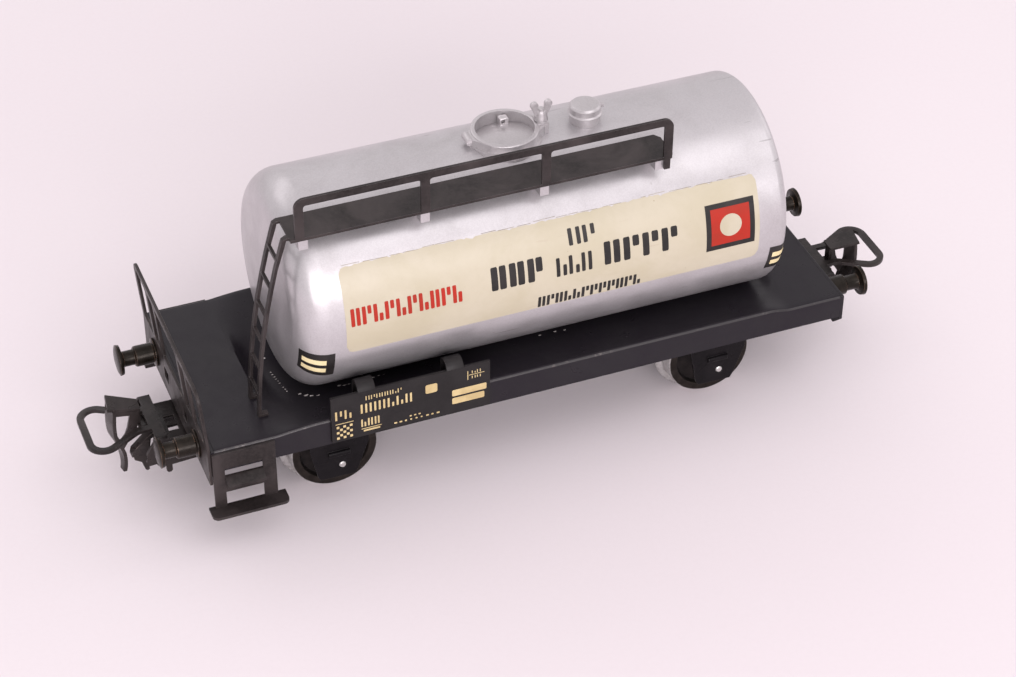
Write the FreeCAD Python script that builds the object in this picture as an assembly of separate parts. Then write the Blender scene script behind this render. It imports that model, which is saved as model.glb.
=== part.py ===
import FreeCAD, Part
import math
import os

# Model tank wagon, H0 scale, two axles, in millimetres.
# +X runs along the wagon, away from the ladder end; +Y is the side without the walkway; +Z is up.
# The origin lies at the middle of the wagon, on the plane that the wheel flanges stand on.
# "left" is the ladder end (-X), "right" the plain end (+X), "near" the walkway side (-Y), "far" +Y.

V = FreeCAD.Vector
os.makedirs("parts", exist_ok=True)

# ---- driving dimensions -------------------------------------------------------------------
SHEET = 0.5                 # gauge of the pressed frame
THIN = 0.4                  # gauge of the light stampings
DECK_HALF_LENGTH = 44.2
DECK_HALF_WIDTH = 15.2
DECK_Z = 15.45              # top of the two end platforms
RIM_Z = 15.95               # top of the side sill beside the tank
SILL_BOTTOM_Z = 12.0
HEADSTOCK_BOTTOM_Z = 10.05
CREASE_X = -35.6            # where the left platform folds down into the trough
PLATFORM_X = 37.2           # where the right platform begins

AXLE_X = 26.75
AXLE_Z = 6.85
FLANGE_R = 6.85
TREAD_R = 5.9
WHEEL_INNER_Y = 7.3
WHEEL_OUTER_Y = 10.6
AXLE_R = 0.9
JOURNAL_R = 0.5
RUNNING_GAP = 0.05
GUARD_Y = 13.9              # outer face of the axle guards

BUFFER_REACH = 50.0
BUFFER_Y = 9.87
BUFFER_Z = 12.88
STUB_R = 0.8

STRAP_HALF_WIDTH = 1.15     # bent straps that hang the name board on the sill
STRAP_BEND_R = 1.3
STRAP_BEND_Z = 19.2

TANK_R = 14.28
TANK_Z = 27.81
TANK_LEFT_X = -31.55
TANK_RIGHT_X = 35.3
TANK_SEAM_X = 33.6
TANK_CROWN_Z = TANK_Z + TANK_R
TANK_WALL = 1.2
LEFT_EDGE_R = 4.1
RIGHT_EDGE_R = 1.2
LEFT_DISH = 0.9
RIGHT_DISH = 0.7
SCREW_X = 17.0

MANHOLE_X = 0.95
COLLAR_R = 4.45
COLLAR_WALL = 0.6
COLLAR_CHEEK_Y = 2.1        # half width where hinge arm and fork run into the ring
COLLAR_TOP_Z = 43.55
FILLER_X = 12.0
FILLER_R = 2.05
LID_T = 0.22
WING_REACH = 0.95           # middle of each wing of the nut, from the bolt
WING_R = 0.52
WING_T = 0.22               # half its thickness

WALK_Z = 42.13              # top of the walkway plank
WALK_NEAR_Y = -11.6
WALK_FAR_Y = -6.4
WALK_LEFT_X = -31.3
WALK_RIGHT_X = 19.4
RAIL_TOP_Z = 47.8
POST_XS = (-30.1, -13.95, 1.95, 18.5)
POST_WIDTH = 1.15
ARM_XS = (-29.6, -13.9, 1.9, 17.6)

END_RAIL_TOP_Z = 24.75
END_RAIL_LEAN = 4.5         # degrees outward

PIVOT_X = 39.2              # coupler swings about this point
SHANK_Z = 9.4               # top of the coupler shank
SHANK_T = 0.45
SHANK_HALF_WIDTH = 3.78
RIVET_X = -48.0             # small rivet that holds the hook on the shank, at the left end
RIVET_Y = 1.1
RIVET_R = 0.35
PIN_X = 47.9                # bail hinge
PIN_Z = 8.43
PIN_R = 0.45
BAIL_Z = 10.1               # underside of the bail
BAIL_T = 0.5
BAIL_END_X = -57.25         # far end of the left stirrup
BAIL_BAR = 0.95
BAIL_CORNER_R = 2.3


# ---- helpers ------------------------------------------------------------------------------
def box(x0, x1, y0, y1, z0, z1):
    return Part.makeBox(x1 - x0, y1 - y0, z1 - z0, V(x0, y0, z0))


def plate_xy(points, z0, z1):
    """Flat plate with an outline in plan."""
    loop = [V(x, y, z0) for x, y in points]
    return Part.Face(Part.makePolygon(loop + loop[:1])).extrude(V(0, 0, z1 - z0))


def plate_xz(points, y0, y1):
    """Upright plate whose outline is seen from the side."""
    loop = [V(x, y0, z) for x, z in points]
    return Part.Face(Part.makePolygon(loop + loop[:1])).extrude(V(0, y1 - y0, 0))


def plate_yz(points, x0, x1):
    """Upright plate whose outline is seen from the end."""
    loop = [V(x0, y, z) for y, z in points]
    return Part.Face(Part.makePolygon(loop + loop[:1])).extrude(V(x1 - x0, 0, 0))


def rod(r, start, end):
    axis = end - start
    return Part.makeCylinder(r, axis.Length, start, axis)


def turned(profile, origin, axis):
    """Solid of revolution: profile holds (distance along the axis, radius) points."""
    side = V(0, 0, 1)
    loop = [origin + axis * a + side * r for a, r in profile]
    face = Part.Face(Part.makePolygon(loop + loop[:1]))
    return face.revolve(origin, axis, 360)


def fuse(*shapes):
    whole = shapes[0].multiFuse(list(shapes[1:])) if len(shapes) > 1 else shapes[0]
    return whole.removeSplitter()


def rounded(shape, radius, pick):
    """Round the straight edges that pick() chooses."""
    edges = [e for e in shape.Edges if pick(e)]
    return shape.makeFillet(radius, edges) if edges else shape


def upright_at(x, tol=0.01):
    """Edges that stand along Z at one x."""
    def pick(edge):
        box_ = edge.BoundBox
        return box_.XLength < tol and box_.YLength < tol and abs(box_.XMin - x) < tol
    return pick


def across_y(points, tol=0.02):
    """Edges that run along Y through the given (x, z) points."""
    def pick(edge):
        b = edge.BoundBox
        straight = b.XLength < tol and b.ZLength < tol
        return straight and any(abs(b.XMin - x) < tol and abs(b.ZMin - z) < tol for x, z in points)
    return pick


def along_x(points, tol=0.02):
    """Edges that run along X through the given (y, z) points."""
    def pick(edge):
        b = edge.BoundBox
        straight = b.YLength < tol and b.ZLength < tol
        return straight and any(abs(b.YMin - y) < tol and abs(b.ZMin - z) < tol for y, z in points)
    return pick


def turned_round(shape):
    """The same piece at the other end of the wagon."""
    copy = shape.copy()
    copy.rotate(V(0, 0, 0), V(0, 0, 1), 180)
    return copy


def mirrored_y(shape):
    return shape.mirror(V(0, 0, 0), V(0, 1, 0))


def save(node, shape):
    shape.exportStep("parts/" + node + ".step")


# ---- underframe ---------------------------------------------------------------------------
def ease(t):
    t = min(max(t, 0.0), 1.0)
    return t * t * (3 - 2 * t)


BOWL_R = TANK_R + 0.03
RIM_DROP = TANK_Z - RIM_Z
RIM_ANGLE = math.atan2(RIM_DROP, DECK_HALF_WIDTH)
FLANK_ANGLE = math.asin(BOWL_R / math.hypot(DECK_HALF_WIDTH, RIM_DROP)) - RIM_ANGLE
BOWL_HALF_WIDTH = BOWL_R * math.sin(FLANK_ANGLE)


def trough_height(y):
    """A round bottom that the tank lies in, and straight flanks up to the sills."""
    y = abs(y)
    if y < BOWL_HALF_WIDTH:
        return TANK_Z - math.sqrt(BOWL_R ** 2 - y ** 2)
    foot = TANK_Z - BOWL_R * math.cos(FLANK_ANGLE)
    return foot + (y - BOWL_HALF_WIDTH) * math.tan(FLANK_ANGLE)


def deck_height(x, y):
    """Top of the deck: flat at both ends, sinking into the trough between them."""
    spread = (y / DECK_HALF_WIDTH) ** 2
    left_length = 2.8 + 3.4 * spread
    right_start = 35.9 - 2.7 * spread
    right_length = 1.3 + 1.9 * spread
    down = math.sin(math.pi / 2 * min(max((x - CREASE_X) / left_length, 0.0), 1.0))
    up = ease((x - right_start) / right_length)
    return DECK_Z + (trough_height(y) - DECK_Z) * down * (1 - up)


def trough_stations():
    """Places along the trough: close together on the two slopes, wide apart between them."""
    left = [CREASE_X + i * 0.7 for i in range(11)]
    middle = [left[-1] + i * (32.0 - left[-1]) / 6 for i in range(1, 6)]
    right = [32.0 + i * (PLATFORM_X - 32.0) / 10 for i in range(11)]
    return left + middle + right


def underframe():
    inner = DECK_HALF_WIDTH - SHEET
    overlap = 0.1
    wide = inner + overlap
    ys = [-wide + i * 2 * wide / 18 for i in range(19)]
    surface = Part.BSplineSurface()
    surface.interpolate([[V(x, y, deck_height(x, y)) for y in ys] for x in trough_stations()])
    trough = surface.toShape().extrude(V(0, 0, -SHEET))
    end_x = DECK_HALF_LENGTH - SHEET
    left_deck = box(-end_x, CREASE_X, -wide, wide, DECK_Z - SHEET, DECK_Z)
    right_deck = box(PLATFORM_X, end_x, -wide, wide, DECK_Z - SHEET, DECK_Z)
    pieces = [trough, left_deck, right_deck]
    for side in (-1, 1):
        y_out = side * DECK_HALF_WIDTH
        rim = Part.BSplineCurve()
        rim.interpolate([V(x, y_out, deck_height(x, y_out)) for x in trough_stations()])
        a = V(CREASE_X, y_out, DECK_Z)
        b = V(PLATFORM_X, y_out, DECK_Z)
        corners = [b, V(end_x, y_out, DECK_Z), V(end_x, y_out, SILL_BOTTOM_Z),
                   V(-end_x, y_out, SILL_BOTTOM_Z), V(-end_x, y_out, DECK_Z), a]
        outline = Part.Wire([rim.toShape()] + Part.makePolygon(corners).Edges)
        pieces.append(Part.Face(outline).extrude(V(0, -side * SHEET, 0)))
    frame = fuse(*pieces)
    for x in (-SCREW_X, SCREW_X):
        frame = frame.cut(rod(1.0, V(x, 0, 10), V(x, 0, 16)))
    return frame


def headstock_outline(chamfer):
    w = DECK_HALF_WIDTH
    low = HEADSTOCK_BOTTOM_Z
    return [(-w, DECK_Z), (w, DECK_Z), (w, low + chamfer), (w - chamfer, low),
            (-w + chamfer, low), (-w, low + chamfer)]


def end_plate_holes(x0, x1):
    """Holes for the buffer stubs, and two slots beside the coupler."""
    cuts = []
    for side in (-1, 1):
        y = side * BUFFER_Y
        cuts.append(rod(STUB_R, V(x0 - 1, y, BUFFER_Z), V(x1 + 1, y, BUFFER_Z)))
        slot_y = side * 4.3
        cuts.append(box(x0 - 1, x1 + 1, slot_y - 1.0, slot_y + 1.0, 12.2, 14.0))
    return cuts


def headstock(end):
    x_out = end * DECK_HALF_LENGTH
    x0, x1 = sorted((x_out, x_out - end * SHEET))
    plate = plate_yz(headstock_outline(1.5), x0, x1)
    return plate.cut(Part.makeCompound(end_plate_holes(x0, x1)))


def axle_guard(end, side):
    """Upright plate with the axle's hole, a pressed rib and a flange under the deck."""
    x = end * AXLE_X
    outline = [(x - 4.3, 14.9), (x - 4.3, 10.3), (x - 3.35, 5.6), (x - 3.0, 5.1),
               (x + 1.7, 5.0), (x + 2.0, 5.6), (x + 3.6, 10.0), (x + 3.9, 14.9)]
    y_in = GUARD_Y - SHEET
    plate = plate_xz(outline, -GUARD_Y, -y_in)
    flange = box(x - 4.3, x + 3.9, -(DECK_HALF_WIDTH - SHEET), -y_in, 14.4, 14.9)
    rib_out = -GUARD_Y - 0.5
    rib = box(x - 1.95, x + 1.0, rib_out, -GUARD_Y + 0.1, 8.75, 9.45)
    rib = rounded(rib, 0.25, lambda e: e.BoundBox.YLength < 0.01 and e.BoundBox.YMin < rib_out + 0.05)
    hole = rod(JOURNAL_R + RUNNING_GAP, V(x, -GUARD_Y - 1, AXLE_Z), V(x, -y_in + 1, AXLE_Z))
    guard = fuse(plate, flange, rib).cut(hole)
    return guard if side < 0 else mirrored_y(guard)


# ---- wheelsets ----------------------------------------------------------------------------
def axle(end):
    tip = GUARD_Y + 0.05
    shoulder = GUARD_Y - SHEET - 0.2
    cone = 0.15
    half = [(-tip, 0), (-tip, JOURNAL_R - cone), (-tip + cone, JOURNAL_R), (-shoulder, JOURNAL_R),
            (-shoulder, AXLE_R)]
    profile = half + [(-a, r) for a, r in reversed(half)]
    return turned(profile, V(end * AXLE_X, 0, AXLE_Z), V(0, 1, 0))


def wheel(end, side):
    """Turned wheel: flange inside, coned tread, raised rim and hub round a hollow web."""
    inner = WHEEL_INNER_Y
    outer = WHEEL_OUTER_Y
    profile = [(inner, AXLE_R), (inner, 2.0), (inner + 0.5, 2.3), (inner + 0.5, 4.7), (inner, 5.0),
               (inner, FLANGE_R - 0.35), (inner + 0.25, FLANGE_R), (inner + 0.55, FLANGE_R),
               (inner + 0.85, FLANGE_R - 0.45), (inner + 1.05, TREAD_R + 0.12),
               (outer - 0.15, TREAD_R - 0.05), (outer, TREAD_R - 0.2), (outer, 4.75),
               (outer - 0.75, 4.5), (outer - 0.75, 2.2),
               (outer - 0.1, 1.9), (outer - 0.1, AXLE_R)]
    return turned(profile, V(end * AXLE_X, 0, AXLE_Z), V(0, side, 0))


# ---- buffers ------------------------------------------------------------------------------
def buffer(end, side):
    """Turned buffer riveted into the headstock: collar, sleeve, shank and slightly domed head."""
    seat = DECK_HALF_LENGTH + (THIN if end < 0 else 0.0)
    inside = DECK_HALF_LENGTH - SHEET - 0.5
    head = BUFFER_REACH - 0.75
    profile = [(inside, 0), (inside, STUB_R + 0.35), (inside + 0.5, STUB_R + 0.35), (inside + 0.5, STUB_R),
               (seat, STUB_R), (seat, 1.9), (seat + 0.3, 1.9), (seat + 0.45, 1.4), (seat + 2.75, 1.4),
               (seat + 2.95, 1.2), (seat + 2.95, 1.05), (head - 0.25, 1.05), (head, 1.5),
               (head, 2.0), (head + 0.45, 2.1), (head + 0.62, 1.7), (BUFFER_REACH, 0.9), (BUFFER_REACH, 0)]
    return turned(profile, V(0, side * BUFFER_Y, BUFFER_Z), V(end, 0, 0))


# ---- end railing --------------------------------------------------------------------------
END_RAIL_BAR = 1.1
END_RAIL_POSTS = (-9.1, -5.4, 5.4, 9.1)
END_RAIL_CORNER_R = 1.8


def end_railing():
    """One stamping: a plate over the left headstock and the leaning rail above it."""
    x_in = -DECK_HALF_LENGTH
    x_out = x_in - THIN
    w = DECK_HALF_WIDTH
    top = END_RAIL_TOP_Z
    bar = END_RAIL_BAR
    lean = (top - DECK_Z) * math.tan(math.radians(END_RAIL_LEAN))
    sheet = plate_xz([(x_in, HEADSTOCK_BOTTOM_Z), (x_in, DECK_Z), (x_in - lean, top), (x_out - lean, top),
                      (x_out, DECK_Z), (x_out, HEADSTOCK_BOTTOM_Z)], -w, w)
    sheet = rounded(sheet, END_RAIL_CORNER_R, along_x([(-w, top), (w, top)]))
    cuts = end_plate_holes(x_out, x_in)
    sides = [-w + bar] + [y + d for y in END_RAIL_POSTS for d in (-bar / 2, bar / 2)] + [w - bar]
    for y0, y1 in zip(sides[0::2], sides[1::2]):
        gap = box(x_out - lean - 1, x_in + 1, y0, y1, DECK_Z + 0.5, top - bar)
        cuts.append(rounded(gap, 0.5, along_x([(y0, top - bar), (y1, top - bar)])))
    return sheet.cut(Part.makeCompound(cuts))


# ---- steps and name boards ----------------------------------------------------------------
def step_bracket(side):
    """Stamped hanger with two openings, a small tread and a footboard turned outward."""
    y_in = -DECK_HALF_WIDTH
    y_out = y_in - THIN
    left, right = -44.2, -36.0
    hanger = box(left, right, y_out, y_in, 6.2, 15.1)
    for z0, z1 in ((11.25, 12.55), (6.2, 8.75)):
        hanger = hanger.cut(box(-42.7, -37.7, y_out - 1, y_in + 1, z0, z1))
    slope = [(y_in, 11.25), (y_out, 11.25), (y_out - 1.15, 10.55), (y_out - 1.15, 10.15), (y_in, 10.85)]
    tread = plate_yz(slope, -42.7, -37.7)
    foot_out = y_out - 2.0
    footboard = box(-45.05, -34.95, foot_out, y_in, 6.1, 6.5)
    footboard = rounded(footboard, 0.8,
                        lambda e: e.BoundBox.ZLength > 0.3 and e.BoundBox.YMax < foot_out + 0.01)
    step = fuse(hanger, tread, footboard)
    return step if side < 0 else mirrored_y(step)


def name_board(side):
    """Flat board against the sill, held by two straps bent over the rim."""
    y_in = -DECK_HALF_WIDTH
    y_out = y_in - THIN
    pieces = [box(-28.5, -7.1, y_out, y_in, 12.35, 19.55)]
    y_bend = y_out + STRAP_BEND_R
    y_back = y_bend + STRAP_BEND_R
    for x in (-23.7, -11.8):
        near, far = x - STRAP_HALF_WIDTH, x + STRAP_HALF_WIDTH
        bend = [V(end, y_bend, STRAP_BEND_Z) for end in (near, far)]
        strap = fuse(rod(STRAP_BEND_R, *bend), box(near, far, y_out, y_back, 15.66, STRAP_BEND_Z))
        hollow = fuse(rod(STRAP_BEND_R - THIN, *bend), box(near, far, y_in, y_back - THIN, 15, STRAP_BEND_Z))
        pieces.append(strap.cut(hollow))
    whole = fuse(*pieces)
    return whole if side < 0 else mirrored_y(whole)


# ---- tank ---------------------------------------------------------------------------------
def tank_half(edge_x, edge_r, dish, stop_x, shell):
    """Side outline of one tank end, from the middle of the dish to stop_x; shell moves it inward."""
    way = 1 if edge_x > 0 else -1
    r = TANK_R - shell
    x_edge = edge_x - way * shell
    corner = max(edge_r - shell, 0.2)
    centre_x = x_edge - way * corner
    mid = math.sqrt(0.5) * corner
    dish_mid = V(x_edge + way * dish * 0.75, 0, (r - corner) / 2)
    crown = Part.Arc(V(x_edge + way * dish, 0, 0), dish_mid, V(x_edge, 0, r - corner))
    turn = Part.Arc(V(x_edge, 0, r - corner), V(centre_x + way * mid, 0, r - corner + mid), V(centre_x, 0, r))
    side = Part.LineSegment(V(centre_x, 0, r), V(stop_x, 0, r))
    return [crown.toShape(), turn.toShape(), side.toShape()]


def tank_form(edge_x, edge_r, dish, stop_x, shell):
    edges = tank_half(edge_x, edge_r, dish, stop_x, shell)
    way = 1 if edge_x > 0 else -1
    tip = V(edge_x - way * shell + way * dish, 0, 0)
    closing = Part.makePolygon([V(stop_x, 0, TANK_R - shell), V(stop_x, 0, 0), tip]).Edges
    form = Part.Face(Part.Wire(edges + closing)).revolve(V(0, 0, 0), V(1, 0, 0), 360)
    form.translate(V(0, 0, TANK_Z))
    return form


def tank_barrel():
    outer = tank_form(TANK_LEFT_X, LEFT_EDGE_R, LEFT_DISH, TANK_SEAM_X, 0)
    inner = tank_form(TANK_LEFT_X, LEFT_EDGE_R, LEFT_DISH, TANK_SEAM_X, TANK_WALL)
    bottom = TANK_Z - TANK_R
    barrel = outer.cut(inner)
    bosses = [rod(2.2, V(x, 0, bottom + 0.4), V(x, 0, bottom + 6)) for x in (-SCREW_X, SCREW_X)]
    arms = []
    for x in ARM_XS:
        arm = box(x - 0.6, x + 0.6, -11.1, WALK_FAR_Y, 40.05, WALK_Z - THIN)
        arms.append(arm.cut(inner))
    barrel = fuse(barrel, *bosses, *arms)
    for x in (-SCREW_X, SCREW_X):
        barrel = barrel.cut(rod(STUB_R, V(x, 0, bottom - 1), V(x, 0, bottom + 5.2)))
    return barrel


def tank_end_cap():
    outer = tank_form(TANK_RIGHT_X, RIGHT_EDGE_R, RIGHT_DISH, TANK_SEAM_X, 0)
    spigot = rod(TANK_R - TANK_WALL, V(TANK_SEAM_X - 1.6, 0, TANK_Z), V(TANK_SEAM_X, 0, TANK_Z))
    hollow = rod(TANK_R - 2 * TANK_WALL, V(TANK_SEAM_X - 2, 0, TANK_Z), V(TANK_SEAM_X + 0.3, 0, TANK_Z))
    return fuse(outer, spigot).cut(hollow)


def tank_screws():
    """Two screws that hold the tank down, driven from under the trough."""
    under = TANK_Z - BOWL_R - SHEET
    profile = [(-0.9, 0), (-0.9, 1.0), (-0.5, 1.6), (0, 1.7), (0, STUB_R), (5.2, STUB_R), (5.6, 0.3),
               (5.6, 0)]
    solids = []
    for x in (-SCREW_X, SCREW_X):
        loop = [V(x + r, 0, under + a) for a, r in profile]
        screw = Part.Face(Part.makePolygon(loop + loop[:1])).revolve(V(x, 0, 0), V(0, 0, 1), 360)
        slot = box(x - 2, x + 2, -0.2, 0.2, under - 1.2, under - 0.55)
        solids.append(screw.cut(slot))
    return Part.makeCompound(solids)


def tank_skin():
    """The tank's plain outer cylinder, used to trim what stands on it."""
    return rod(TANK_R, V(-30, 0, TANK_Z), V(30, 0, TANK_Z))


def manhole_collar():
    """Ring round the manhole, with the hinge at its left and the bolt's fork at its right."""
    x = MANHOLE_X
    low = TANK_Z + 12.5
    ring = rod(COLLAR_R, V(x, 0, low), V(x, 0, COLLAR_TOP_Z))
    ring = rounded(ring, 0.2,
                   lambda e: abs(e.BoundBox.ZMin - COLLAR_TOP_Z) < 0.01 and e.BoundBox.ZLength < 0.01)
    foot = rod(COLLAR_R + 0.3, V(x, 0, low), V(x, 0, TANK_CROWN_Z + 0.25))
    pin_x = x - COLLAR_R - 0.6
    pin_z = COLLAR_TOP_Z - 0.55
    pin = rod(0.5, V(pin_x, -0.95, pin_z), V(pin_x, 0.95, pin_z))
    cheek_low = TANK_CROWN_Z - 0.5
    cheek_top = COLLAR_TOP_Z - 0.2
    root_x = COLLAR_R - 0.95
    touch_x = COLLAR_R - 0.55
    half_arm = [(pin_x, 0.6), (x - touch_x, COLLAR_CHEEK_Y), (x - root_x, COLLAR_CHEEK_Y)]
    other_half = [(px, -py) for px, py in reversed(half_arm)]
    hinge_arm = plate_xy(half_arm + other_half, cheek_low, cheek_top)
    fork = []
    fork_x = x + COLLAR_R + 1.15
    slot_y, cheek_y = 0.55, 1.15
    for way in (-1, 1):
        near, far = sorted((way * slot_y, way * cheek_y))
        fork.append(box(x + COLLAR_R - 0.3, fork_x, near, far, cheek_low, COLLAR_TOP_Z + 0.15))
        gusset = [(x + root_x, way * slot_y), (fork_x - 0.5, way * slot_y), (fork_x - 0.5, way * cheek_y),
                  (x + touch_x, way * COLLAR_CHEEK_Y), (x + root_x, way * COLLAR_CHEEK_Y)]
        fork.append(plate_xy(gusset, cheek_low, cheek_top))
    body = fuse(ring, foot, pin, hinge_arm, *fork)
    well = rod(COLLAR_R - COLLAR_WALL, V(x, 0, low - 1), V(x, 0, COLLAR_TOP_Z + 1))
    return body.cut(well).cut(tank_skin())


def manhole_lid():
    """Recessed lid, curved like the tank round it, with a pierced grip lug at its far side."""
    x = MANHOLE_X
    disc = rod(COLLAR_R - COLLAR_WALL, V(x, 0, TANK_Z + 13), V(x, 0, TANK_CROWN_Z + 1))
    lid = disc.common(rod(TANK_R + LID_T, V(x - 10, 0, TANK_Z), V(x + 10, 0, TANK_Z)))
    lug = box(x + 0.3, x + 1.5, 2.4, 3.45, TANK_CROWN_Z - 0.5, COLLAR_TOP_Z - 0.35)
    lug = rounded(lug, 0.25, lambda e: e.BoundBox.ZMin > TANK_CROWN_Z + 0.5)
    hole = rod(0.28, V(x + 0.75, 2, TANK_CROWN_Z + 0.62), V(x + 0.75, 4.5, TANK_CROWN_Z + 0.62))
    return fuse(lid, lug).cut(hole).cut(tank_skin())


def wing_nut():
    """Eye bolt between the fork's cheeks with a wing nut screwed down on it."""
    x = MANHOLE_X + COLLAR_R + 0.5
    foot = COLLAR_TOP_Z + 0.15
    bolt = rod(0.42, V(x, 0, TANK_CROWN_Z + 0.3), V(x, 0, foot + 1.6))
    hub = Part.makeCone(0.95, 0.6, 1.3, V(x, 0, foot), V(0, 0, 1))
    wings = []
    for way in (-1, 1):
        tip = V(x + way * WING_REACH, 0, foot + 2.15)
        ear = rod(WING_R, tip + V(0, -WING_T, 0), tip + V(0, WING_T, 0))
        root = plate_xz([(x + way * 0.2, foot + 0.4), (x + way * 0.75, foot + 0.4),
                         (x + way * (WING_REACH + WING_R * 0.8), foot + 1.9),
                         (x + way * (WING_REACH - WING_R * 0.8), foot + 2.2)], -WING_T, WING_T)
        wings += [ear, root]
    return fuse(bolt, hub, *wings).cut(tank_skin())


def filler_cap():
    """Screw cap on a short neck, with a lip between them."""
    profile = [(-0.9, 0), (-0.9, 2.0), (1.05, 2.0), (1.05, 2.2), (1.3, 2.25), (1.45, FILLER_R),
               (2.2, FILLER_R), (2.45, FILLER_R - 0.25), (2.55, 0)]
    origin = V(FILLER_X, 0, TANK_CROWN_Z)
    loop = [origin + V(r, 0, a) for a, r in profile]
    cap = Part.Face(Part.makePolygon(loop + loop[:1])).revolve(origin, V(0, 0, 1), 360)
    tab = box(FILLER_X + FILLER_R - 0.1, FILLER_X + 2.5, -0.3, 0.3, TANK_CROWN_Z + 1.5, TANK_CROWN_Z + 2.0)
    return fuse(cap, tab).cut(tank_skin())


# ---- walkway ------------------------------------------------------------------------------
LADDER_TOP_Z = 41.0
LADDER_YS = (-10.55, -6.75)
STILE_WIDTH = 0.75
RUNG_PITCH = 4.0
RUNG_COUNT = 6


def ladder_x(z):
    """The ladder leans out from the tank, and its foot curves back to upright."""
    fall = LADDER_TOP_Z - z
    return -32.4 - 0.29 * fall + 0.00486 * fall ** 2


def stile(y):
    """Strip that leaves the plank's end, bends down and ends in a foot on the deck."""
    heights = [LADDER_TOP_Z - i * (LADDER_TOP_Z - DECK_Z) / 8 for i in range(9)]
    outer = [(ladder_x(z), z) for z in heights]
    inner = [(x + THIN, z) for x, z in reversed(outer[1:])]
    foot_x = outer[-1][0]
    foot = [(foot_x, DECK_Z), (foot_x + 1.3, DECK_Z), (foot_x + 1.3, DECK_Z + THIN)]
    inner[0] = (foot_x + THIN, DECK_Z + THIN)
    bend = [(WALK_LEFT_X + 0.5, WALK_Z - THIN), (WALK_LEFT_X + 0.5, WALK_Z), (WALK_LEFT_X - 0.3, WALK_Z),
            (WALK_LEFT_X - 0.85, WALK_Z - 0.3)]
    inner_bend = [(ladder_x(LADDER_TOP_Z) + 0.55, LADDER_TOP_Z), (WALK_LEFT_X - 0.35, WALK_Z - THIN)]
    outline = bend + outer[:-1] + foot + inner + inner_bend
    return plate_xz(outline, y - STILE_WIDTH / 2, y + STILE_WIDTH / 2)


def walkway():
    """One stamping: plank, railing folded up from its near edge, and ladder bent down at its end."""
    near, far = WALK_NEAR_Y, WALK_FAR_Y
    right = WALK_RIGHT_X
    plank = plate_xy([(WALK_LEFT_X, near), (right - 0.6, near), (right, near + 0.6), (right, far - 0.9),
                      (right - 0.6, far), (WALK_LEFT_X, far)], WALK_Z - THIN, WALK_Z)
    x0 = POST_XS[0] - POST_WIDTH / 2
    x1 = POST_XS[-1] + POST_WIDTH / 2
    rail = box(x0, x1, near, near + THIN, WALK_Z - THIN, RAIL_TOP_Z)
    rail = rounded(rail, 1.3, across_y([(x0, RAIL_TOP_Z), (x1, RAIL_TOP_Z)]))
    for a, b in zip(POST_XS[:-1], POST_XS[1:]):
        left = a + POST_WIDTH / 2
        last = b - POST_WIDTH / 2
        gap = box(left, last, near - 1, near + 1, WALK_Z, RAIL_TOP_Z - 1.0)
        rail = rail.cut(rounded(gap, 0.4, across_y([(left, RAIL_TOP_Z - 1.0), (last, RAIL_TOP_Z - 1.0)])))
    tab = box(POST_XS[-1] - 0.45, POST_XS[-1] + 0.35, near, near + THIN, WALK_Z - 1.9, WALK_Z)
    rungs = []
    for i in range(RUNG_COUNT):
        z = 38.8 - i * RUNG_PITCH
        x = ladder_x(z)
        rungs.append(box(x, x + THIN, LADDER_YS[0], LADDER_YS[1], z - 0.25, z + 0.25))
    return fuse(plank, rail, tab, *[stile(y) for y in LADDER_YS], *rungs)


# ---- couplers: drawn at the left end ------------------------------------------------------
def drawbar_bracket():
    """C-shaped bracket under the platform that carries the coupler's pivot."""
    deck = DECK_Z - SHEET
    front, back = -42.3, -37.4
    low = SHANK_Z + 0.2
    profile = [(front, deck), (back, deck), (back, low), (-41.4, low), (-41.4, low + SHEET),
               (back - SHEET, low + SHEET), (back - SHEET, deck - SHEET), (front, deck - SHEET)]
    bracket = plate_xz(profile, -3.0, 3.0)
    return bracket.cut(rod(AXLE_R, V(-PIVOT_X, 0, 8), V(-PIVOT_X, 0, 12)))


def pivot_rivet():
    profile = [(8.2, 0), (8.2, 1.2), (8.4, 1.6), (8.75, 1.6), (8.75, AXLE_R), (10.1, AXLE_R),
               (10.1, 1.2), (10.35, 1.0), (10.5, 0.6), (10.5, 0)]
    loop = [V(-PIVOT_X + r, 0, z) for z, r in profile]
    return Part.Face(Part.makePolygon(loop + loop[:1])).revolve(V(-PIVOT_X, 0, 0), V(0, 0, 1), 360)


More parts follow.
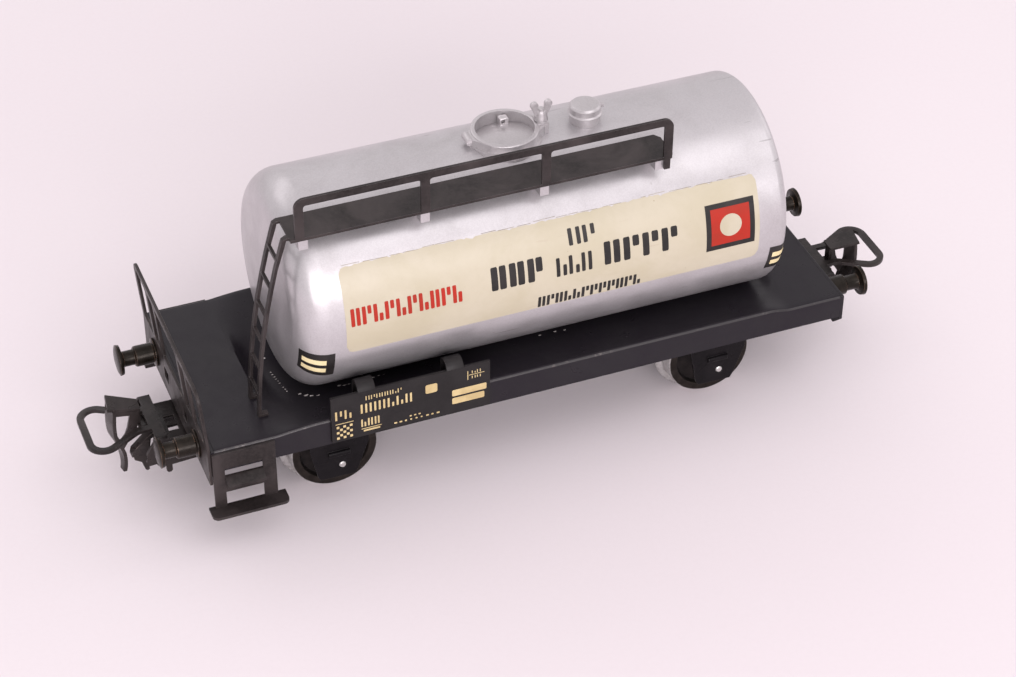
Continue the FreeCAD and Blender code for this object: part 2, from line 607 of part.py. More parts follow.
def coupler_shank():
    """Channel-shaped drawbar with two slots, a tab on each side and a claw bent down at its front."""
    top = SHANK_Z
    low = top - SHANK_T
    front = -48.3
    half = [(-37.7, 0.8), (-38.3, 1.6), (-40.5, 2.4), (-43.0, SHANK_HALF_WIDTH), (front, SHANK_HALF_WIDTH)]
    plate = plate_xy(half + [(x, -y) for x, y in reversed(half)], low, top)
    for y in (0.15, -1.7):
        plate = plate.cut(box(-46.4, -45.0, y - 0.55, y + 0.55, low - 1, top + 1))
    flange = [(-48.7, top), (-43.0, top), (-43.0, 5.2), (-46.7, 5.0), (-46.7, 4.1), (-46.9, 3.8),
              (-47.3, 3.8), (-47.5, 4.1), (-47.5, 4.95), (-48.3, 5.0), (-48.7, 5.5)]
    flanges = []
    for side in (-1, 1):
        y0, y1 = sorted((side * (SHANK_HALF_WIDTH - SHANK_T), side * SHANK_HALF_WIDTH))
        flanges.append(plate_xz(flange, y0, y1))
    guide = plate_xz([(-48.1, top), (-48.1, low), (-49.3, 8.2), (-50.9, 6.8), (-51.1, 6.1), (-51.5, 6.15),
                      (-51.3, 7.0), (-49.6, 8.65), (-48.5, top)], -1.95, -0.65)
    claw = plate_xz([(-48.9, 8.5), (-50.3, 7.4), (-51.3, 6.6), (-51.2, 5.6), (-50.3, 5.0), (-49.9, 3.6),
                     (-49.65, 3.4), (-49.35, 3.5), (-49.3, 5.4)], -1.95, -1.45)
    shank = fuse(plate, guide, claw, *flanges)
    shank = shank.cut(rod(AXLE_R + RUNNING_GAP, V(-PIVOT_X, 0, 8), V(-PIVOT_X, 0, 10)))
    shank = shank.cut(rod(PIN_R, V(-PIN_X, -6, PIN_Z), V(-PIN_X, 6, PIN_Z)))
    return shank.cut(rod(RIVET_R, V(RIVET_X, RIVET_Y, 8), V(RIVET_X, RIVET_Y, 10)))


def coupler_hook():
    """Stamping riveted to the shank: neck, sloping roof, pierced side web, and an apron with a tongue."""
    near = -0.45
    base = box(-49.9, -47.3, near, 1.7, SHANK_Z, SHANK_Z + THIN)
    neck = plate_xz([(-49.5, SHANK_Z), (-49.95, SHANK_Z), (-49.95, 12.3), (-49.5, 12.3)], near + 0.5, 1.25)
    roof = plate_xy([(-49.5, near), (-49.5, 1.7), (-53.45, 2.8), (-53.9, near)], 12.2, 12.2 + THIN)
    slope = math.degrees(math.atan2(1.0, 4.0))
    roof.rotate(V(-49.5, 0, 12.2), V(0, 1, 0), slope)
    web = plate_xz([(-49.75, 12.2), (-50.1, 9.8), (-50.1, SHANK_Z), (-50.4, 8.9), (-51.5, 7.6), (-52.1, 6.6),
                    (-52.8, 6.9), (-53.0, 9.4), (-53.1, 13.1)], near, near + THIN)
    web = web.cut(plate_xz([(-50.9, 11.9), (-51.4, 9.8), (-51.8, 8.8), (-52.45, 8.0), (-53.0, 9.4),
                            (-52.7, 12.2)], near - 1, near + 1))
    hook = fuse(base, neck, roof, web, hook_apron(near))
    return hook.cut(rod(RIVET_R, V(RIVET_X, RIVET_Y, 8), V(RIVET_X, RIVET_Y, 12)))


def hook_apron(near):
    """Curved front of the hook: it stands skew, bulges forward, and narrows to a tongue below."""
    thick = 0.45
    line = [V(-53.0, near, 13.25), V(-53.2, near, 11.2), V(-53.25, near, 9.4), V(-53.05, near, 7.9),
            V(-52.45, near, 6.4), V(-52.25, near, 5.0), V(-52.5, near, 2.8)]
    front = Part.BSplineCurve()
    front.interpolate(line)
    back = Part.BSplineCurve()
    back.interpolate([v + V(thick, 0, 0) for v in line])
    top = Part.makeLine(line[0], line[0] + V(thick, 0, 0))
    tip = Part.makeLine(line[-1], line[-1] + V(thick, 0, 0))
    width = 2.3
    section = Part.Face(Part.Wire([front.toShape(), tip, back.toShape(), top]))
    apron = section.extrude(V(-0.2 * width, width, 0))
    clear_y = near + width + 1
    waste = plate_yz([(near + 0.9, 2.0), (near + 1.25, 4.0), (near + width + 0.1, 7.0), (clear_y, 7.0),
                      (clear_y, 2.0)], -56, -50)
    return apron.cut(waste)


def hook_rivet():
    """Small rivet that holds the hook's base on the shank."""
    low = SHANK_Z - SHANK_T
    high = SHANK_Z + THIN
    profile = [(low, 0), (low, RIVET_R), (high, RIVET_R), (high, 0.6), (high + 0.1, 0.5), (high + 0.15, 0)]
    loop = [V(RIVET_X + r, RIVET_Y, z) for z, r in profile]
    return Part.Face(Part.makePolygon(loop + loop[:1])).revolve(V(RIVET_X, RIVET_Y, 0), V(0, 0, 1), 360)


def coupler_bail():
    """Stirrup loop on a cross strap, whose ends are turned down as the hinge ears."""
    half = [(-48.3, 2.4), (-50.3, 2.4), (BAIL_END_X, 6.4)]
    outline = half + [(x, -y) for x, y in reversed(half)]
    blank = plate_xy(outline, BAIL_Z, BAIL_Z + BAIL_T)
    for x, radius in ((-50.3, 1.5), (BAIL_END_X, BAIL_CORNER_R)):
        blank = rounded(blank, radius, upright_at(x))
    inner_x = BAIL_END_X + BAIL_BAR
    hole_half = [(-48.9, 1.55), (-50.4, 1.5), (inner_x, 4.85)]
    hole = plate_xy(hole_half + [(x, -y) for x, y in reversed(hole_half)], BAIL_Z - 1, BAIL_Z + BAIL_T + 1)
    hole = rounded(hole, BAIL_CORNER_R - BAIL_BAR, upright_at(inner_x))
    strap = box(-48.65, -47.15, -4.6, 4.6, BAIL_Z, BAIL_Z + BAIL_T)
    ears = []
    for side in (-1, 1):
        y0, y1 = sorted((side * 4.1, side * 4.6))
        ears.append(plate_xz([(-48.65, BAIL_Z + BAIL_T), (-47.15, BAIL_Z + BAIL_T), (-47.15, 7.9),
                              (-47.6, 7.2), (-48.6, 6.4), (-49.8, 6.3), (-50.15, 6.9), (-50.0, 8.3),
                              (-49.1, 9.7)], y0, y1))
    bail = fuse(blank.cut(hole), strap, *ears)
    bail = rounded(bail, 0.35, along_x([(-4.6, BAIL_Z + BAIL_T), (4.6, BAIL_Z + BAIL_T)]))
    return bail.cut(rod(PIN_R + RUNNING_GAP, V(-PIN_X, -6, PIN_Z), V(-PIN_X, 6, PIN_Z)))


def bail_pin():
    profile = [(-5.05, 0), (-5.05, 0.55), (-4.95, 0.75), (-4.7, 0.75), (-4.7, PIN_R), (4.7, PIN_R),
               (4.7, 0.75), (4.95, 0.75), (5.05, 0.55), (5.05, 0)]
    return turned(profile, V(-PIN_X, 0, PIN_Z), V(0, 1, 0))


# ---- write every piece --------------------------------------------------------------------
ENDS = {"left": -1, "right": 1}
SIDES = {"near": -1, "far": 1}
COUPLER_PIECES = {
    "drawbar_bracket": drawbar_bracket,
    "pivot_rivet": pivot_rivet,
    "coupler_shank": coupler_shank,
    "coupler_hook": coupler_hook,
    "hook_rivet": hook_rivet,
    "coupler_bail": coupler_bail,
    "bail_pin": bail_pin,
}

save("underframe", underframe())
save("end_railing", end_railing())
save("tank_barrel", tank_barrel())
save("tank_end_cap", tank_end_cap())
save("tank_screws", tank_screws())
save("manhole_collar", manhole_collar())
save("manhole_lid", manhole_lid())
save("wing_nut", wing_nut())
save("filler_cap", filler_cap())
save("walkway", walkway())
for side_name, side in SIDES.items():
    save("step_" + side_name, step_bracket(side))
    save("name_board_" + side_name, name_board(side))
for end_name, end in ENDS.items():
    save("headstock_" + end_name, headstock(end))
    save("axle_" + end_name, axle(end))
    for name, maker in COUPLER_PIECES.items():
        piece = maker()
        save(name + "_" + end_name, piece if end < 0 else turned_round(piece))
    for side_name, side in SIDES.items():
        where = end_name + "_" + side_name
        save("wheel_" + where, wheel(end, side))
        save("axle_guard_" + where, axle_guard(end, side))
        save("buffer_" + where, buffer(end, side))
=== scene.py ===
import math
import random

import bmesh
import bpy
from mathutils import Matrix, Vector

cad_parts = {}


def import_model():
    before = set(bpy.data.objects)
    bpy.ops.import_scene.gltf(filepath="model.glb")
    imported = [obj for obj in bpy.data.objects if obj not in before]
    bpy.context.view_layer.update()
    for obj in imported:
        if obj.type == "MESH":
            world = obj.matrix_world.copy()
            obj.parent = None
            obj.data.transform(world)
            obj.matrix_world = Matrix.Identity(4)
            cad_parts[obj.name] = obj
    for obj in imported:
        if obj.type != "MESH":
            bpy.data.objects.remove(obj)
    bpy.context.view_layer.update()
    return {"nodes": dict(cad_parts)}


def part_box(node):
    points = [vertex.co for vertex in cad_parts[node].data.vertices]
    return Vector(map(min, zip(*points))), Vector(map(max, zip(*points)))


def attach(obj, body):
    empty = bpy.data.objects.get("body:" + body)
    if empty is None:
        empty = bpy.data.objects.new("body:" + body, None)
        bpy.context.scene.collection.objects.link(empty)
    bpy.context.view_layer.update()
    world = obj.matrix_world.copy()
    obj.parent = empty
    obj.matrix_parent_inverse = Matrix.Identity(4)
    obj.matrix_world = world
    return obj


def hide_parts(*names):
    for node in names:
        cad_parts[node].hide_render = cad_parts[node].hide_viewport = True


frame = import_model()
nodes = frame["nodes"]

# Lengths below are in millimetres, apart from the lights' places; MM turns them into metres.
MM = 0.001

# ---- sizes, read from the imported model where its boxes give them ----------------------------
barrel_low, barrel_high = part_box("tank_barrel")
_, cap_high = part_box("tank_end_cap")
TANK_R = (barrel_high.y - barrel_low.y) / 2 / MM
TANK_Z = barrel_low.z / MM + TANK_R
LEFT_EDGE_R = 4.1                       # shoulder radius of each tank end
RIGHT_EDGE_R = 1.2
LEFT_DISH = 0.9                         # how far each end bulges out
RIGHT_DISH = 0.7
TANK_LEFT_X = barrel_low.x / MM + LEFT_DISH
TANK_RIGHT_X = cap_high.x / MM - RIGHT_DISH
TANK_MIDDLE_X = (TANK_LEFT_X + TANK_RIGHT_X) / 2

frame_low, frame_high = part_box("underframe")
DECK_HALF_WIDTH = frame_high.y / MM
DECK_END_X = frame_high.x / MM
SILL_BOTTOM_Z = frame_low.z / MM
SHEET = 0.5                             # thickness of the pressing
DECK_Z = 15.45                          # top of the two end platforms
RIM_Z = 15.95                           # where the flanks beside the tank reach the sills
CREASE_X = -35.6                        # where the left platform begins to sink


# ---- studio: camera, floor and lights ------------------------------------------------------
CAMERA_AZIMUTH = -21.90                 # degrees, as the next two
CAMERA_ELEVATION = 38.50
CAMERA_ROLL = 0.41
CAMERA_TARGET = (1.607, 0.0, 9.116)
CAMERA_DISTANCE = 339.62
CAMERA_LENS = 88.82
SENSOR_WIDTH = 36
NEAREST_SEEN = 10
FLOOR_HALF_WIDTH = 1500
FLOOR_THICKNESS = 8


def camera():
    """Looks at the wagon from its left front, above, with a slight roll."""
    angles = (CAMERA_AZIMUTH, CAMERA_ELEVATION, CAMERA_ROLL)
    azimuth, elevation, roll = (math.radians(a) for a in angles)
    target = Vector(CAMERA_TARGET) * MM
    back = Vector((math.sin(azimuth) * math.cos(elevation), -math.cos(azimuth) * math.cos(elevation),
                   math.sin(elevation)))
    level = Vector((math.cos(azimuth), math.sin(azimuth), 0.0))
    rise = back.cross(level)
    right = math.cos(roll) * level + math.sin(roll) * rise
    up = math.cos(roll) * rise - math.sin(roll) * level
    data = bpy.data.cameras.new("camera")
    data.sensor_width = SENSOR_WIDTH
    data.lens = CAMERA_LENS
    data.clip_start = NEAREST_SEEN * MM
    obj = bpy.data.objects.new("camera", data)
    turn = Matrix((right, up, back)).transposed().to_4x4()
    obj.matrix_world = Matrix.Translation(target + back * CAMERA_DISTANCE * MM) @ turn
    bpy.context.scene.collection.objects.link(obj)
    bpy.context.scene.camera = obj


def area_light(name, stand, aim, width, height, watts, colour):
    """A rectangular light; its place, aim and size are in metres."""
    data = bpy.data.lights.new(name, "AREA")
    data.shape = "RECTANGLE"
    data.size = width
    data.size_y = height
    data.energy = watts
    data.color = colour
    obj = bpy.data.objects.new(name, data)
    obj.location = stand
    obj.rotation_euler = (Vector(aim) - Vector(stand)).to_track_quat("-Z", "Y").to_euler()
    bpy.context.scene.collection.objects.link(obj)


def world(colour, strength):
    """Even light from all round."""
    data = bpy.data.worlds.new("studio")
    data.use_nodes = True
    background = data.node_tree.nodes["Background"]
    background.inputs["Color"].default_value = (*colour, 1)
    background.inputs["Strength"].default_value = strength
    bpy.context.scene.world = data


# ---- material tools ------------------------------------------------------------------------
class Finish:
    """One procedural material. Patterns use object coordinates, so they move with their piece."""

    def __init__(self, name, rough=0.5, metallic=0.0, coat=0.0, specular=0.5):
        self.material = bpy.data.materials.new(name)
        self.material.use_nodes = True
        self.tree = self.material.node_tree
        self.shader = self.tree.nodes["Principled BSDF"]
        self.shader.inputs["Metallic"].default_value = metallic
        self.shader.inputs["Roughness"].default_value = rough
        self.shader.inputs["Coat Weight"].default_value = coat
        self.shader.inputs["Coat Roughness"].default_value = 0.2
        self.shader.inputs["Specular IOR Level"].default_value = specular
        self.where = self.tree.nodes.new("ShaderNodeTexCoord").outputs["Object"]
        self.relief = None

    def put(self, socket, value):
        """Links another node's output to the socket, or sets the socket to a number or colour."""
        if isinstance(value, bpy.types.NodeSocket):
            self.tree.links.new(value, socket)
        elif isinstance(value, (tuple, list)):
            socket.default_value = (*value, 1) if len(value) == 3 and socket.type == "RGBA" else value
        else:
            socket.default_value = value

    def maths(self, operation, *values):
        """The output of a math node."""
        node = self.tree.nodes.new("ShaderNodeMath")
        node.operation = operation
        for socket, value in zip(node.inputs, values):
            self.put(socket, value)
        return node.outputs[0]

    def axis(self, letter):
        """One coordinate of the point, in metres."""
        node = self.tree.nodes.new("ShaderNodeSeparateXYZ")
        self.put(node.inputs[0], self.where)
        return node.outputs[letter]

    def stretched(self, x, y, z):
        """The point with each coordinate scaled; a small factor draws a pattern out along that axis."""
        node = self.tree.nodes.new("ShaderNodeMapping")
        self.put(node.inputs["Vector"], self.where)
        node.inputs["Scale"].default_value = (x, y, z)
        return node.outputs[0]

    def noise(self, size, detail=3.0, rough=0.55, warp=0.0, where=None):
        """Noise with features about `size` millimetres across; `warp` bends them."""
        node = self.tree.nodes.new("ShaderNodeTexNoise")
        self.put(node.inputs["Vector"], where or self.where)
        node.inputs["Scale"].default_value = 1 / (size * MM)
        node.inputs["Detail"].default_value = detail
        node.inputs["Roughness"].default_value = rough
        node.inputs["Distortion"].default_value = warp
        return node.outputs[0]

    def grains(self, size):
        """A random grey for each small cell, as metal flakes in a lacquer."""
        node = self.tree.nodes.new("ShaderNodeTexVoronoi")
        self.put(node.inputs["Vector"], self.where)
        node.inputs["Scale"].default_value = 1 / (size * MM)
        part = self.tree.nodes.new("ShaderNodeSeparateColor")
        self.put(part.inputs[0], node.outputs["Color"])
        return part.outputs[0]

    def between(self, value, start, end, low=0.0, high=1.0):
        """Goes smoothly from low to high as the value goes from start to end."""
        node = self.tree.nodes.new("ShaderNodeMapRange")
        node.interpolation_type = "SMOOTHSTEP"
        for socket, item in zip(node.inputs, (value, start, end, low, high)):
            self.put(socket, item)
        return node.outputs[0]

    def mix(self, amount, first, second):
        """The first colour where the amount is 0, the second where it is 1."""
        node = self.tree.nodes.new("ShaderNodeMix")
        node.data_type = "RGBA"
        self.put(node.inputs[0], amount)
        self.put(node.inputs[6], first)
        self.put(node.inputs[7], second)
        return node.outputs[2]

    def bump(self, height, depth):
        """Adds relief `depth` millimetres high."""
        node = self.tree.nodes.new("ShaderNodeBump")
        node.inputs["Strength"].default_value = 1.0
        node.inputs["Distance"].default_value = depth * MM
        self.put(node.inputs["Height"], height)
        if self.relief:
            self.put(node.inputs["Normal"], self.relief)
        self.relief = node.outputs[0]

    def done(self, colour, rough=None):
        """Connects colour, roughness and relief, and gives the finished material."""
        self.put(self.shader.inputs["Base Color"], colour)
        if rough is not None:
            self.put(self.shader.inputs["Roughness"], rough)
        if self.relief:
            self.put(self.shader.inputs["Normal"], self.relief)
        return self.material


DUST_GREY = (0.16, 0.145, 0.145)


def enamel(name, base, faded, worn, rough, chips=0.78, dust=0.78, grain=0.003, specular=0.2):
    """Painted or blackened metal: cloudy tone, fine grain, specks of dust and small rubbed spots."""
    f = Finish(name, specular=specular)
    cloudy = f.between(f.noise(7.0, 4, 0.6, 0.6), 0.35, 0.7)
    tone = f.mix(cloudy, base, faded)
    fine = f.between(f.noise(0.55, 5, 0.7), 0.3, 0.75, 0.0, 0.5)
    tone = f.mix(fine, tone, faded)
    specks = f.between(f.noise(0.32, 2, 0.5), dust, dust + 0.06)
    tone = f.mix(f.maths("MULTIPLY", specks, 0.35), tone, DUST_GREY)
    rubbed = f.between(f.noise(1.3, 6, 0.72, 0.8), chips, chips + 0.04)
    tone = f.mix(rubbed, tone, worn)
    f.bump(f.noise(0.22, 3, 0.6), grain)
    f.bump(f.noise(1.6, 2, 0.5), grain * 2.2)
    f.bump(f.maths("SUBTRACT", 1.0, rubbed), 0.01)
    smear = f.between(f.noise(4.0, 4, 0.65, 1.2), 0.3, 0.75, rough - 0.07, rough + 0.1)
    return f.done(tone, f.maths("SUBTRACT", smear, f.maths("MULTIPLY", rubbed, 0.1)))


def rubbed_edge(name, paint, bare, amount, rough=0.42):
    """The same paint along an edge, where handling has thinned it to the metal."""
    f = Finish(name, rough=rough, metallic=0.35)
    patches = f.between(f.noise(1.7, 5, 0.7, 0.5), 0.62 - amount, 0.8 - amount)
    flecks = f.between(f.noise(0.35, 3, 0.6), 0.35, 0.7, 0.55, 1.0)
    f.bump(f.noise(0.25, 3, 0.6), 0.006)
    return f.done(f.mix(f.maths("MULTIPLY", patches, flecks), paint, bare),
                  f.between(patches, 0.0, 1.0, rough + 0.08, rough - 0.1))


FLAKE_WHITE = (0.9, 0.89, 0.9)
LOW_DARKENING_BROWN = (0.26, 0.235, 0.23)
SCRATCH_GREY = (0.16, 0.15, 0.15)
NIB_GREY = (0.34, 0.31, 0.3)
DARKENING_TOP_Z = 24                        # the lacquer darkens towards the bottom, beginning at this height and full at the next
DARKENING_FULL_Z = 15


def silver_lacquer(name, base, shade, rough, scratches=0.6):
    """Aluminium lacquer: metallic flakes, soft smudges, faint scratches, and a blotchy brown darkening
    towards the bottom.
    """
    f = Finish(name, metallic=0.66, coat=0.1)
    smudge = f.between(f.noise(9.0, 4, 0.6, 0.8), 0.38, 0.72, 0.0, 0.8)
    tone = f.mix(smudge, base, shade)
    flakes = f.grains(0.12)
    tone = f.mix(f.between(flakes, 0.0, 1.0, 0.0, 0.1), tone, FLAKE_WHITE)
    low = f.between(f.axis("Z"), DARKENING_TOP_Z * MM, DARKENING_FULL_Z * MM)
    darkened_low = f.maths("MULTIPLY", low, f.between(f.noise(3.2, 5, 0.7, 1.0), 0.4, 0.75, 0.05, 0.5))
    tone = f.mix(darkened_low, tone, LOW_DARKENING_BROWN)
    lines = f.noise(0.5, 2, 0.4, 0.4, f.stretched(0.05, 0.5, 1.0))
    scratch = f.maths("MULTIPLY", f.between(lines, 0.71, 0.74), f.between(f.noise(12, 2), 0.45, 0.6))
    tone = f.mix(f.maths("MULTIPLY", scratch, scratches), tone, SCRATCH_GREY)
    nibs = f.between(f.noise(0.45, 2, 0.4), 0.74, 0.8)
    tone = f.mix(f.maths("MULTIPLY", nibs, 0.5), tone, NIB_GREY)
    f.bump(flakes, 0.0003)
    f.bump(f.noise(0.45, 2, 0.5), 0.0025)
    f.bump(f.noise(5.0, 2, 0.5), 0.03)
    f.bump(nibs, 0.008)
    return f.done(tone, f.between(f.noise(6.0, 4, 0.6, 0.7), 0.3, 0.75, rough - 0.05, rough + 0.09))


def ink(name, base, faded, rough, wear=0.72, through=(0.6, 0.57, 0.48), gloss=0.15):
    """Thin printed colour: slight fading, pinholes, and spots rubbed through."""
    f = Finish(name, coat=gloss, specular=0.3)
    tone = f.mix(f.between(f.noise(3.5, 4, 0.6, 0.5), 0.35, 0.7), base, faded)
    tone = f.mix(f.between(f.noise(0.4, 3, 0.6), 0.35, 0.75, 0.0, 0.35), tone, faded)
    tone = f.mix(f.between(f.noise(0.6, 5, 0.75), wear, wear + 0.05), tone, through)
    f.bump(f.noise(0.3, 3, 0.6), 0.004)
    return f.done(tone, f.between(f.noise(2.5, 4, 0.6), 0.3, 0.75, rough - 0.05, rough + 0.08))


def cream_ground():
    """Cream transfer on the tank: yellowed unevenly, with dirt specks and faint scratches."""
    f = Finish("label_cream", coat=0.2)
    tone = f.mix(f.between(f.noise(11.0, 4, 0.6, 0.6), 0.35, 0.7), (0.475, 0.43, 0.33), (0.43, 0.385, 0.275))
    tone = f.mix(f.between(f.noise(1.1, 5, 0.7), 0.4, 0.8, 0.0, 0.3), tone, (0.41, 0.365, 0.265))
    specks = f.between(f.noise(0.55, 3, 0.5), 0.74, 0.78)
    tone = f.mix(f.maths("MULTIPLY", specks, 0.7), tone, (0.25, 0.18, 0.12))
    lines = f.noise(0.6, 2, 0.4, 0.6, f.stretched(0.06, 0.5, 1.0))
    tone = f.mix(f.maths("MULTIPLY", f.between(lines, 0.72, 0.75), 0.5), tone, (0.42, 0.36, 0.27))
    f.bump(f.noise(0.3, 3, 0.6), 0.005)
    f.bump(f.noise(4.0, 2, 0.5), 0.02)
    return f.done(tone, f.between(f.noise(5.0, 4, 0.6), 0.3, 0.75, 0.36, 0.5))


def turned_metal(name, base, dark, rough, axis, metallic=0.9, tarnish=0.6, specular=0.5):
    """Lathe-turned metal: fine rings along the turning axis, and clouds of tarnish."""
    f = Finish(name, metallic=metallic, specular=specular)
    tone = f.mix(f.between(f.noise(1.8, 5, 0.65, 0.8), 0.35, 0.7, 0.0, tarnish), base, dark)
    scale = {"X": (1.0, 0.04, 0.04), "Y": (0.04, 1.0, 0.04), "Z": (0.04, 0.04, 1.0)}[axis]
    rings = f.noise(0.12, 2, 0.5, 0.0, f.stretched(*scale))
    tone = f.mix(f.between(rings, 0.3, 0.7, 0.0, 0.25), tone, dark)
    specks = f.between(f.noise(0.4, 3, 0.6), 0.68, 0.76)
    tone = f.mix(f.maths("MULTIPLY", specks, 0.6), tone, dark)
    f.bump(rings, 0.004)
    f.bump(f.noise(0.3, 3, 0.6), 0.004)
    return f.done(tone, f.between(f.noise(1.5, 4, 0.6), 0.3, 0.75, rough - 0.06, rough + 0.12))


BRIGHT_FROM_R = 5.66                    # the blackening fades into bright metal between these radii
BRIGHT_FULL_R = 5.8
WEB_R = 4.55                            # the black face turns from web to rim between these radii; the web is painted darker, as shade in its hollow
RIM_R = 4.7
RING_PITCH = 0.16                       # of the fine turned rings


def wheel_metal(name, centre_x, centre_z):
    """Bright running tread and flange, and a blackened face inside the rim, painted darker on the hollow web
    as shade.
    """
    f = Finish(name, metallic=0.85)
    dx = f.maths("SUBTRACT", f.axis("X"), centre_x)
    dz = f.maths("SUBTRACT", f.axis("Z"), centre_z)
    radius = f.maths("SQRT", f.maths("ADD", f.maths("MULTIPLY", dx, dx), f.maths("MULTIPLY", dz, dz)))
    waver = f.maths("SUBTRACT", f.noise(0.7, 4), 0.5)
    ragged = f.maths("ADD", radius, f.maths("MULTIPLY", waver, 0.16 * MM))
    bright = f.between(ragged, BRIGHT_FROM_R * MM, BRIGHT_FULL_R * MM)
    polished = f.mix(f.between(f.noise(1.2, 5, 0.7), 0.4, 0.75), (0.62, 0.61, 0.60), (0.30, 0.28, 0.27))
    # The web's black is darker than the rim's: blackened metal, with painted shade in the hollow.
    shaded_web = f.mix(f.between(f.noise(1.5, 5, 0.65), 0.35, 0.7), (0.010, 0.009, 0.009), (0.024, 0.020, 0.019))
    rim = f.mix(f.between(f.noise(0.9, 4, 0.65), 0.35, 0.7), (0.020, 0.016, 0.014), (0.036, 0.029, 0.025))
    black = f.mix(f.between(radius, WEB_R * MM, RIM_R * MM), shaded_web, rim)
    f.bump(f.noise(0.25, 3, 0.6), 0.006)
    rings = f.maths("SINE", f.maths("MULTIPLY", radius, 2 * math.pi / (RING_PITCH * MM)))
    f.bump(rings, 0.0012)
    return f.done(f.mix(bright, black, polished), f.between(f.noise(1.0, 4, 0.6), 0.3, 0.75, 0.32, 0.5))


def floor_paper():
    """Matt paper, with slow changes of tone and fine fibres."""
    f = Finish("floor_paper", rough=0.9, specular=0.2)
    tone = f.mix(f.between(f.noise(160.0, 3, 0.5), 0.3, 0.7), (0.745, 0.69, 0.715), (0.73, 0.67, 0.70))
    tone = f.mix(f.between(f.noise(0.7, 3, 0.6), 0.3, 0.8, 0.0, 0.12), tone, (0.66, 0.60, 0.62))
    f.bump(f.noise(0.5, 3, 0.6), 0.01)
    return f.done(tone, f.between(f.noise(40.0, 2), 0.3, 0.7, 0.86, 0.95))


# ---- mesh tools ----------------------------------------------------------------------------
def piece(name, verts, faces, body, materials, smooth=35, indices=None):
    """Builds a mesh from millimetre points and fixes it to a body."""
    mesh = bpy.data.meshes.new(name)
    mesh.from_pydata([Vector(v) * MM for v in verts], [], faces)
    for material in materials:
        mesh.materials.append(material)
    if indices:
        for polygon, index in zip(mesh.polygons, indices):
            polygon.material_index = index
    work = bmesh.new()
    work.from_mesh(mesh)
    bmesh.ops.recalc_face_normals(work, faces=work.faces)
    work.to_mesh(mesh)
    work.free()
    mesh.polygons.foreach_set("use_smooth", [True] * len(mesh.polygons))
    mesh.set_sharp_from_angle(angle=math.radians(smooth))
    obj = bpy.data.objects.new(name, mesh)
    bpy.context.scene.collection.objects.link(obj)
    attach(obj, body)
    return obj


class Solids:
    """Collects closed sheets that end up in one piece."""

    def __init__(self):
        self.verts = []
        self.faces = []

    def sheet(self, outer, inner):
        """Closed solid between two grids of points with the same rows and columns."""
        rows, cols = len(outer), len(outer[0])
        base = len(self.verts)
        count = rows * cols
        self.verts += [p for row in outer for p in row] + [p for row in inner for p in row]
        for i in range(rows - 1):
            for j in range(cols - 1):
                a = base + i * cols + j
                quad = (a, a + 1, a + cols + 1, a + cols)
                self.faces.append(quad)
                self.faces.append(tuple(k + count for k in reversed(quad)))
        rim = list(range(cols))
        rim += [i * cols + cols - 1 for i in range(1, rows)]
        rim += [(rows - 1) * cols + j for j in range(cols - 2, -1, -1)]
        rim += [i * cols for i in range(rows - 2, 0, -1)]
        for p, q in zip(rim, rim[1:] + rim[:1]):
            self.faces.append((base + q, base + p, base + p + count, base + q + count))

    def plate(self, outline, lift):
        """Closed flat plate: the outline's points, and the same points moved by lift."""
        base = len(self.verts)
        count = len(outline)
        self.verts += list(outline) + [tuple(Vector(p) + Vector(lift)) for p in outline]
        self.faces.append(tuple(range(base, base + count)))
        self.faces.append(tuple(range(base + 2 * count - 1, base + count - 1, -1)))
        for k in range(count):
            n = (k + 1) % count
            self.faces.append((base + k, base + n, base + n + count, base + k + count))

    def build(self, name, body, slot, material):
        """Makes one piece of everything collected."""
        return piece(name, self.verts, self.faces, body, [material])


def spread(start, end, steps):
    """Evenly spaced values from start to end, both included."""
    return [start + (end - start) * i / steps for i in range(steps + 1)]


# ---- markings on the tank ------------------------------------------------------------------
# Places are u, in millimetres along the tank, and heights in degrees above its middle line.
DEGREES_PER_MM = math.degrees(1 / TANK_R)
SIDE_NAMES = {-1: "near", 1: "far"}
SUNK = 0.06                             # how far every mark reaches under the tank's skin
GROUND_LIFT = 0.02                      # how far each mark stands above it
TRACE_LIFT = 0.03
BORDER_LIFT = 0.035
STROKE_LIFT = 0.04
PANEL_LIFT = 0.05
SPOT_LIFT = 0.065
PLATE_LIFT = 0.03
STRIPE_LIFT = 0.045

LABEL_START = -25.6
LABEL_END = 31.0
LABEL_LOW = -11.5
LABEL_HIGH = 37.0
LABEL_STEPS = 150
LOW_CORNER_R = 1.1
HIGH_CORNER_R = 0.9
TRACE_START = -25.0
TRACE_END = 29.6
TRACE_LOW = 37.3
TRACE_WIDTH = 0.24
STROKE_HEIGHTS = (0.45, 0.6, 1.0)       # heights that a letter's second stroke may have, as shares
WIDEST_STROKE = 0.42                    # shares of a letter's pitch
LETTER_WIDTH = 0.82
STROKE_TRIM = 0.06                      # share of the height taken off at a stroke's corners
# Words: start, end, low, high, letters, a stroke's width in millimetres, seed.
DARK_WORDS = (
    (4.5, 8.5, 21.5, 30.5, 2, 0.55, 3),
    (-6.3, 1.1, 6.5, 19.5, 3, 0.9, 5),
    (2.5, 7.7, 6.0, 16.5, 3, 0.5, 8),
    (9.1, 19.8, 6.5, 19.3, 4, 0.9, 13),
    (0.0, 14.4, -11.0, -4.0, 12, 0.4, 21),
)
RED_WORD = (-24.9, -10.0, 5.0, 15.0, 10, 0.5, 34)
# Rectangles: start, end, low, high.
PANEL_BORDER = (23.4, 30.3, -0.5, 25.7)
PANEL = (24.1, 29.6, 2.4, 22.9)
PANEL_SPOT_R = 1.55
CORNER_PLATES = ((-32.0, -27.1, -28.0, -9.5), (32.8, 37.4, -26.0, -8.0))
STRIPE_BOTTOMS = (0.2, 0.56)            # shares of the plate's height, as the next is
STRIPE_HEIGHT = 0.2
STRIPE_LEFT_GAP = 0.55
STRIPE_RIGHT_GAP = 1.1


